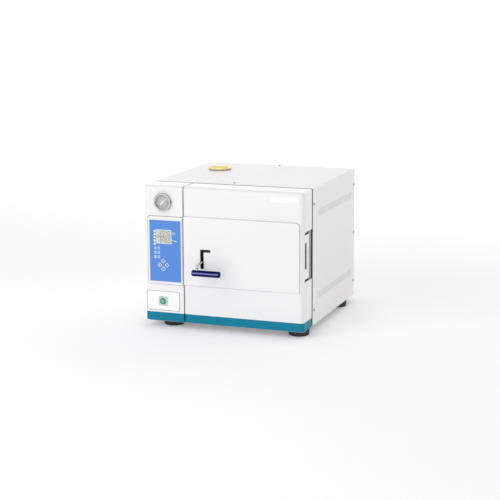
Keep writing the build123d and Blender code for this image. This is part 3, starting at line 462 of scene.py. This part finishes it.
# =====================================================================
# thin printed pieces and painted shade lines
# =====================================================================
SEGMENTS_OF = {"0": "abcdef", "1": "bc", "2": "abged", "3": "abgcd", "4": "fgbc",
               "5": "afgcd", "6": "afgedc", "7": "abc", "8": "abcdefg", "9": "abcdfg"}
# segment ends, in digit widths and digit heights
SEGMENT_ENDS = {"a": ((0, 1), (1, 1)), "b": ((1, 1), (1, 0.5)), "c": ((1, 0.5), (1, 0)),
                "d": ((0, 0), (1, 0)), "e": ((0, 0), (0, 0.5)), "f": ((0, 0.5), (0, 1)),
                "g": ((0, 0.5), (1, 0.5))}


def to_row(x, y, z):
    """Modelling-frame millimetres to row-frame metres."""
    return Vector((x * MM, (y - ROW_ORIGIN_Y) * MM, (z + FOOT_HEIGHT) * MM))


class Piece:
    """Flat shapes that stand rise proud of a front face and sink into it.

    The piece rides the body. slot, the material slot it stands for, is not used.
    """

    def __init__(self, name, body, material, slot, face, rise=0.12, sink=0.02):
        self.name, self.body, self.material, self.slot = name, body, material, slot
        self.front, self.back = face - rise, face + sink
        self.bm = bmesh.new()

    def verts(self, outline, y):
        return [self.bm.verts.new(to_row(x, y, z)) for x, z in outline]

    def prism(self, outline):
        area = 0.0
        for (x1, z1), (x2, z2) in zip(outline, outline[1:] + outline[:1]):
            area += x1 * z2 - x2 * z1
        if area < 0:
            outline = outline[::-1]
        front = self.verts(outline, self.front)
        back = self.verts(outline, self.back)
        self.bm.faces.new(front)
        self.bm.faces.new(back[::-1])
        count = len(outline)
        for i in range(count):
            j = (i + 1) % count
            self.bm.faces.new((front[j], front[i], back[i], back[j]))

    def ring(self, outer, inner):
        """Frame between two outlines with the same number of points."""
        outer_front = self.verts(outer, self.front)
        inner_front = self.verts(inner, self.front)
        outer_back = self.verts(outer, self.back)
        inner_back = self.verts(inner, self.back)
        count = len(outer)
        for i in range(count):
            j = (i + 1) % count
            for a, b in ((outer_front, inner_front), (inner_back, outer_back),
                         (outer_back, outer_front), (inner_front, inner_back)):
                if a is outer_front or a is inner_front:
                    self.bm.faces.new((a[i], a[j], b[j], b[i]))
                else:
                    self.bm.faces.new((b[j], b[i], a[i], a[j]))

    def stroke(self, start, end, width):
        (x1, z1), (x2, z2) = start, end
        dx, dz = x2 - x1, z2 - z1
        length = math.hypot(dx, dz)
        nx, nz = -dz / length * width / 2, dx / length * width / 2
        self.prism([(x1 + nx, z1 + nz), (x2 + nx, z2 + nz),
                    (x2 - nx, z2 - nz), (x1 - nx, z1 - nz)])

    def arc_band(self, centre, outer, inner, start, sweep, steps):
        """Arc of short prisms, in degrees clockwise from the top."""
        for i in range(steps):
            a, b = start + sweep * i / steps, start + sweep * (i + 1) / steps
            self.prism([clock_point(centre, outer, a), clock_point(centre, outer, b),
                        clock_point(centre, inner, b), clock_point(centre, inner, a)])

    def digit(self, figure, x, z, width, height, thickness):
        """Seven-segment digit with its lower left corner at (x, z)."""
        for segment in SEGMENTS_OF[figure]:
            (x1, z1), (x2, z2) = [(x + u * width, z + v * height)
                                  for u, v in SEGMENT_ENDS[segment]]
            dx, dz = x2 - x1, z2 - z1
            trim = 0.62 * thickness / math.hypot(dx, dz)
            self.stroke((x1 + dx * trim, z1 + dz * trim), (x2 - dx * trim, z2 - dz * trim),
                        thickness)

    def strip(self, path, widths):
        """Band between a path and the same path pushed to its right."""
        edges = []
        for i, ((x, z), width) in enumerate(zip(path, widths)):
            xa, za = path[max(i - 1, 0)]
            xb, zb = path[min(i + 1, len(path) - 1)]
            dx, dz = xb - xa, zb - za
            length = math.hypot(dx, dz)
            edges.append(((x, z), (x + dz / length * width, z - dx / length * width)))
        front = [self.verts(pair, self.front) for pair in edges]
        back = [self.verts(pair, self.back) for pair in edges]
        new_face = self.bm.faces.new
        for a, b, c, d in zip(front, front[1:], back, back[1:]):
            new_face((a[0], b[0], b[1], a[1]))
            new_face((c[1], d[1], d[0], c[0]))
            new_face((a[1], b[1], d[1], c[1]))
            new_face((b[0], a[0], c[0], d[0]))
        for i in (0, -1):
            new_face((front[i][0], front[i][1], back[i][1], back[i][0]))

    def build(self):
        bmesh.ops.recalc_face_normals(self.bm, faces=self.bm.faces)
        mesh = bpy.data.meshes.new(self.name)
        self.bm.to_mesh(mesh)
        self.bm.free()
        piece = bpy.data.objects.new(self.name, mesh)
        bpy.context.scene.collection.objects.link(piece)
        mesh.materials.append(self.material)
        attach(piece, self.body)


def panel_print():
    art = Piece("panel_print", "cabinet", PRINT_WHITE, "plate_white", PANEL_FACE)
    # border of the foil, then the keyline of the display window
    art.ring(rounded(PANEL_BOX, 1.95, inset=0.05), rounded(PANEL_BOX, 1.0, inset=2.3))
    art.ring(rounded(DISPLAY_BOX, 1.0, inset=-1.1), rounded(DISPLAY_BOX, 0.6, inset=0.2))
    # rings round the lamps
    lamp_x = -201.4
    for z in (257.0, 248.0, 239.0, 230.0, 221.0):
        art.ring(circle(lamp_x, z, 3.1, 28), circle(lamp_x, z, 1.75, 28))
    # status symbols: three rows of two outlined marks, the left ones underlined
    for z in (209.5, 197.0, 184.5):
        for x, underlined in ((-199.5, True), (-189.0, False)):
            box = box_about(x, z, 3.1, 3.5)
            art.ring(rounded(box, 1.2, steps=3), rounded(box, 0.6, inset=1.0, steps=3))
            art.prism(circle(x, z, 1.0, 14))
            if underlined:
                art.stroke((x - 1.8, z - 5.0), (x + 1.8, z - 5.0), 0.7)
    # right of the display: a small ring and four short bars
    art.ring(circle(-144.5, 253.5, 2.2, 20), circle(-144.5, 253.5, 1.3, 20))
    for start, end, width in (((-141.0, 255.5), (-139.0, 251.0), 1.0),
                              ((-139.0, 251.0), (-144.0, 246.5), 0.9),
                              ((-147.5, 232.0), (-144.5, 235.0), 1.5),
                              ((-142.5, 232.2), (-134.5, 230.6), 2.0)):
        art.stroke(start, end, width)
    art.build()


def lcd_segments():
    figures = Piece("lcd_segments", "cabinet", LCD_SEGMENTS, "lcd_grey", DISPLAY_FACE)
    first_x, pitch = -194.0, 8.5
    for z, text in ((249.6, "12040"), (238.2, "08800"), (226.8, "13400")):
        for i, figure in enumerate(text):
            figures.digit(figure, first_x + i * pitch, z, width=5.2, height=8.4,
                          thickness=1.5)
    figures.build()


def key_print(key, step_x, step_z):
    """Outline and symbol of one key, on that key's own body."""
    x = KEYPAD_CENTRE[0] + step_x * KEY_PITCH_X
    z = KEYPAD_CENTRE[1] + step_z * KEY_PITCH_Z
    art = Piece(key + "_print", key, PRINT_WHITE, "plate_white", KEY_FACE)
    art.ring(diamond(x, z, 5.2, 1.2), diamond(x, z, 5.2, 0.7, inset=1.5))
    if step_z:      # arrow
        neck = z - step_z * 0.1
        art.prism([(x, z + step_z * 2.2), (x + 1.7, neck), (x - 1.7, neck)])
        art.stroke((x, neck), (x, z - step_z * 1.9), 0.9)
    elif step_x < 0:    # ring
        art.ring(circle(x, z, 1.9, 24), circle(x, z, 1.0, 24))
    else:           # two bars
        for rise in (1.0, -1.0):
            art.stroke((x - 1.7, z + rise), (x + 1.7, z + rise), 0.8)
    art.build()


def gauge_print():
    """Ticks, arc and numbers of the dial, and the red last division."""
    x, z = GAUGE_CENTRE
    start, sweep, divisions = -135, 270.0, 5
    division = sweep / divisions
    ticks = Piece("gauge_ticks", "cabinet", LINE_DARK, "dial_grey", DIAL_FACE, rise=0.1)
    tick_count = 10 * divisions
    for i in range(tick_count + 1):
        angle = start + sweep * i / tick_count
        if i % 10 == 0:
            inner, width = 16.2, 0.55
        elif i % 5 == 0:
            inner, width = 17.0, 0.3
        else:
            inner, width = 17.8, 0.3
        ticks.stroke(clock_point(GAUGE_CENTRE, 19.2, angle),
                     clock_point(GAUGE_CENTRE, inner, angle), width)
    ticks.arc_band(GAUGE_CENTRE, outer=19.5, inner=19.1, start=start, sweep=sweep, steps=60)
    width, height = 2.0, 3.2
    for i in range(divisions + 1):
        number_x, number_z = clock_point(GAUGE_CENTRE, 12.6, start + division * i)
        ticks.digit(str(i), number_x - width / 2, number_z - height / 2, width, height,
                    thickness=0.5)
    # bar and dot below the centre
    ticks.stroke((x - 3.5, z - 9.5), (x + 3.5, z - 9.5), 0.5)
    ticks.prism(circle(x, z - 12.5, 0.9, 16))
    ticks.build()

    sector = Piece("gauge_red_sector", "cabinet", RED, "dial_grey", DIAL_FACE, rise=0.08)
    sector.arc_band(GAUGE_CENTRE, outer=16.0, inner=14.9,
                    start=start + sweep - division, sweep=division, steps=14)
    sector.build()


def door_edge_line():
    """Painted shade line at the foot of the raised band on the door: a light grey strip, wider
    along the left of the bottom edge.
    """
    left, right, bottom, top, radius = -113.0, 224.0, 108.0, 302.0, 11.0
    path = [(left, bottom), (60.0, bottom), (222.0, bottom), (right, 110.0), (right, 200.0)]
    path += arc_points(right - radius, top - radius, radius, 0, 90, steps=8)
    path += [(60.0, top), (left, top)]
    line = Piece("pad_painted_shade_line", "door", PAINTED_SHADE_LIGHT, "zinc_steel", MOULDING_FACE, rise=0.10)
    line.strip(path, [1.9] * 2 + [1.0] * (len(path) - 2))
    line.build()


def bezel_line_width(x, z):
    """Width of the painted shade: wide down the left side, narrowing along the top from the
    left corner.
    """
    if x < -221.0:
        return 2.7
    if z < 112:
        return 1.8
    return 0.9 + max(0.0, -x - 213.0) / 9.0 * 1.6


def bezel_painted_shade_line():
    """Painted shade line at the foot of the raised band on the column."""
    right, left = -118.2, -222.0
    path = [(right, 299.0), (-213.0, 299.0)]
    path += arc_points(-214.0, 291.0, 8.0, 95, 180, steps=8)
    path += [(left, 200.0), (left, 110.5)]
    path += arc_points(-219.0, 110.0, 3.0, 185, 270, steps=4)
    path += [(right, 107.0)]
    line = Piece("bezel_painted_shade_line", "cabinet", SHADE_AND_OUTLINE_GREY, "zinc_steel", MOULDING_FACE,
                 rise=0.10)
    line.strip(path, [bezel_line_width(x, z) for x, z in path])
    line.build()


def power_print():
    """Outline of the power plate, and the ring and symbol of the button."""
    outline = Piece("power_plate_outline", "cabinet", SHADE_AND_OUTLINE_GREY, "zinc_steel",
                    POWER_PLATE_FACE)
    outline.ring(rounded(POWER_PLATE_BOX, 2.9), rounded(POWER_PLATE_BOX, 2.2, inset=1.1))
    outline.build()

    x, z = BUTTON_CENTRE
    ring = Piece("button_ring", "power_button", BUTTON_RING, "button_green", BUTTON_FACE,
                 sink=0.05)
    ring.ring(circle(x, z, 8.1), circle(x, z, 5.9))
    ring.build()

    symbol = Piece("button_symbol", "power_button", PRINT_WHITE, "plate_white", BUTTON_FACE,
                   rise=0.1)
    symbol.arc_band(BUTTON_CENTRE, outer=3.2, inner=2.5, start=-40, sweep=-280.0, steps=20)
    symbol.stroke((x, z + 0.6), (x, z + 3.8), 0.7)
    symbol.build()


# =====================================================================
# stage, light, camera (metres)
# =====================================================================
def stage_material():
    """Matt white that glows more towards the back."""
    surface = Surface("mat_stage")
    tone = surface.mix(surface.remap(surface.noise(scale=3)), grey(0.93), grey(0.94))
    place = surface.node("ShaderNodeSeparateXYZ")
    surface.plug(place.inputs[0], surface.coords["Object"])
    glow = surface.remap(place.outputs["Y"], span=(0.6, 6.5), to=(0.16, 0.75))
    surface.shade(Base_Color=tone, Roughness=0.9, Emission_Color=(1, 1, 1, 1),
                  Emission_Strength=glow, Specular_IOR_Level=0.1)
    return surface.material


def stage_floor():
    """Floor that sweeps up into a back wall."""
    half_width, bend_y, bend_radius, steps = 12, 5.0, 2.5, 12
    profile = [(-9.0, 0.0), (bend_y, 0.0)]      # (y, z)
    for i in range(1, steps + 1):
        a = math.radians(90.0 * i / steps)
        profile.append((bend_y + bend_radius * math.sin(a),
                        bend_radius - bend_radius * math.cos(a)))
    profile.append((bend_y + bend_radius, 9.0))
    bm = bmesh.new()
    rows = [[bm.verts.new((x, y, z)) for x in (-half_width, half_width)] for y, z in profile]
    for a, b in zip(rows, rows[1:]):
        bm.faces.new((a[0], a[1], b[1], b[0]))
    mesh = bpy.data.meshes.new("stage_floor")
    bm.to_mesh(mesh)
    bm.free()
    floor = bpy.data.objects.new("stage_floor", mesh)
    bpy.context.scene.collection.objects.link(floor)
    mesh.materials.append(stage_material())
    for polygon in mesh.polygons:
        polygon.use_smooth = True


# name, place, target, (width, height), watts
AREA_LIGHTS = (
    ("key_left", (-1.7, -2.6, 2.3), (0, -0.1, 0.15), (2.4, 2.4), 30),
    ("top_soft", (0.1, 0.3, 3.0), (0, 0.0, 0.2), (2.6, 2.6), 9),
    ("fill_right", (3.0, -1.4, 1.5), (0, 0, 0.2), (2.0, 2.0), 4),
    ("fill_front", (-0.4, -3.6, 0.9), (0, 0, 0.2), (2.6, 1.8), 18),
)


def lighting():
    world = bpy.data.worlds.new("studio")
    bpy.context.scene.world = world
    world.use_nodes = True
    background = world.node_tree.nodes["Background"].inputs
    background["Color"].default_value = (1.0, 1.0, 1.0, 1)
    background["Strength"].default_value = 0.50
    for name, place, target, size, watts in AREA_LIGHTS:
        light = bpy.data.lights.new(name, "AREA")
        light.shape = "RECTANGLE"
        light.size, light.size_y = size
        light.energy = watts
        holder = bpy.data.objects.new(name, light)
        holder.location = place
        aim = Vector(target) - Vector(place)
        holder.rotation_euler = aim.to_track_quat("-Z", "Y").to_euler()
        bpy.context.scene.collection.objects.link(holder)


def camera():
    scene = bpy.context.scene
    lens = bpy.data.cameras.new("camera")
    holder = bpy.data.objects.new("camera", lens)
    scene.collection.objects.link(holder)
    right = Vector((0.9378340371, 0.3470360335, -0.0057715075))
    up = Vector((-0.0620891646, 0.1841043856, 0.9809436838))
    back = Vector((0.3414853650, -0.9196040271, 0.1942065366))
    pose = Matrix((right, up, back)).transposed().to_4x4()
    pose.translation = Vector((1.40986169, -3.82085834, 1.01015968))
    holder.matrix_world = pose
    lens.sensor_width = 36.0
    lens.lens = 102.94126
    lens.shift_x = 0.0030780
    lens.shift_y = -0.0100931
    lens.clip_end = 100.0
    scene.camera = holder
    scene.view_settings.view_transform = "Standard"
    scene.view_settings.look = "None"


dress_cad_pieces()
panel_print()
lcd_segments()
for key, step_x, step_z in (("key_up", 0, 1), ("key_down", 0, -1),
                            ("key_left", -1, 0), ("key_right", 1, 0)):
    key_print(key, step_x, step_z)
gauge_print()
door_edge_line()
bezel_painted_shade_line()
power_print()
stage_floor()
lighting()
camera()
